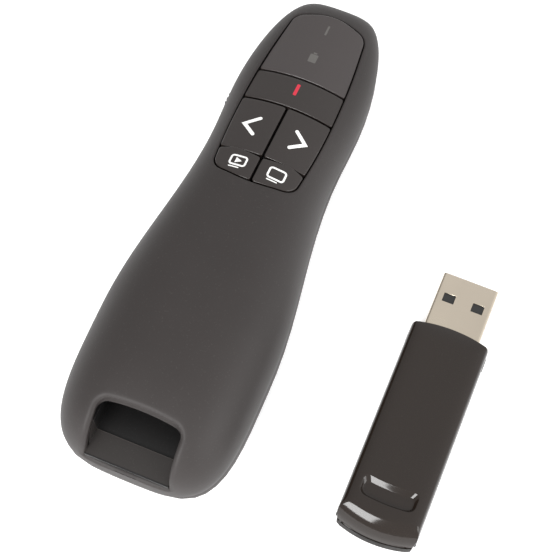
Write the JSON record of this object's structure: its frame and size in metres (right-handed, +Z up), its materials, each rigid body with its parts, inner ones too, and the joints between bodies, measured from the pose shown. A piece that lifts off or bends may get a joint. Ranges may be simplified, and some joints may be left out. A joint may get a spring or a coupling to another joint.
{
  "type": "wireless presentation clicker",
  "caption": "Hand-held presentation remote with a domed tail, five soft keys, a laser pointer and a stowing USB receiver that lies beside it.",
  "frame": {"origin": "on the handset's flat underside, midway along its length and width", "axes": "+Y towards the head with the laser, +Z up from the rest face, +X to the right, where the receiver lies"},
  "size_m": [0.0757, 0.1154, 0.0264],
  "materials": {
    "soft_casing": "soft-touch coated ABS, fine even grain",
    "key_cap": "satin",
    "window": "satin smoked polycarbonate",
    "bay_black": "fine matt",
    "light_guide": "clear acrylic",
    "led": "gloss",
    "switch_stem": "matt",
    "switch_stem_white": "matt",
    "switch_steel": "bright plated",
    "circuit_board": "solder mask",
    "chip": "matt",
    "brass": "turned",
    "lens": "polished",
    "diode_steel": "plated",
    "switch_knob": "satin",
    "cell": "printed sleeve on a metal can",
    "contact_steel": "nickel plated spring steel",
    "screw_steel": "zinc plated",
    "receiver_black": "satin",
    "receiver_gloss": "gloss",
    "plug_nickel": "satin nickel",
    "insulator": "matt",
    "gold_contact": "gold flashed"
  },
  "bodies": {
    "handset": {"upper_shell": "soft_casing", "lower_shell": "soft_casing", "receiver_tray": "bay_black", "key_frame": "bay_black", "status_window": "window", "light_guide": "light_guide", "status_leds": "led", "key_switches": "switch_steel", "main_board": "circuit_board", "board_chips": "chip", "laser_barrel": "brass", "laser_lens": "lens", "laser_diode": "diode_steel", "laser_bezel": "bay_black", "power_switch": "switch_steel", "left_cell": "cell", "right_cell": "cell", "cell_springs": "contact_steel", "cell_contacts": "contact_steel", "case_screws": "screw_steel"},
    "battery_door": {"battery_cover": "soft_casing"},
    "laser_button": {"laser_key": "key_cap", "laser_stem": "switch_stem"},
    "back_button": {"back_key": "key_cap", "back_stem": "switch_stem"},
    "next_button": {"next_key": "key_cap", "next_stem": "switch_stem"},
    "play_button": {"play_key": "key_cap", "play_stem": "switch_stem"},
    "blank_button": {"blank_key": "key_cap", "blank_stem": "switch_stem"},
    "power_slider": {"power_knob": "switch_knob", "power_lever": "switch_stem_white"},
    "receiver": {"receiver_base": "receiver_black", "receiver_cover": "receiver_gloss", "plug_shell": "plug_nickel", "plug_tongue": "insulator", "plug_contacts": "gold_contact", "receiver_board": "circuit_board", "receiver_chips": "chip"}
  },
  "joints": [
    {"name": "laser_press", "type": "slide", "parent": "handset", "child": "laser_button", "axis": [0, -0.1562, -0.9877], "range_m": [0, 0.00045], "stiffness_N_per_m": 800, "springref_m": -0.0005},
    {"name": "back_press", "type": "slide", "parent": "handset", "child": "back_button", "axis": [0, -0.1562, -0.9877], "range_m": [0, 0.00045], "stiffness_N_per_m": 800, "springref_m": -0.0005},
    {"name": "next_press", "type": "slide", "parent": "handset", "child": "next_button", "axis": [0, -0.1562, -0.9877], "range_m": [0, 0.00045], "stiffness_N_per_m": 800, "springref_m": -0.0005},
    {"name": "play_press", "type": "slide", "parent": "handset", "child": "play_button", "axis": [0, -0.1562, -0.9877], "range_m": [0, 0.00045], "stiffness_N_per_m": 600, "springref_m": -0.0005},
    {"name": "blank_press", "type": "slide", "parent": "handset", "child": "blank_button", "axis": [0, -0.1562, -0.9877], "range_m": [0, 0.00045], "stiffness_N_per_m": 600, "springref_m": -0.0005},
    {"name": "power_slide", "type": "slide", "parent": "handset", "child": "power_slider", "axis": [0, 0.9877, -0.1562], "range_m": [0, 0.002]},
    {"name": "battery_cover_slide", "type": "slide", "parent": "handset", "child": "battery_door", "axis": [0, -1, 0], "range_m": [0, 0.01]},
    {"name": "receiver_lift", "type": "slide", "parent": "handset", "child": "receiver", "axis": [0, 0, 1], "range_m": [0, 0.06]}
  ]
}
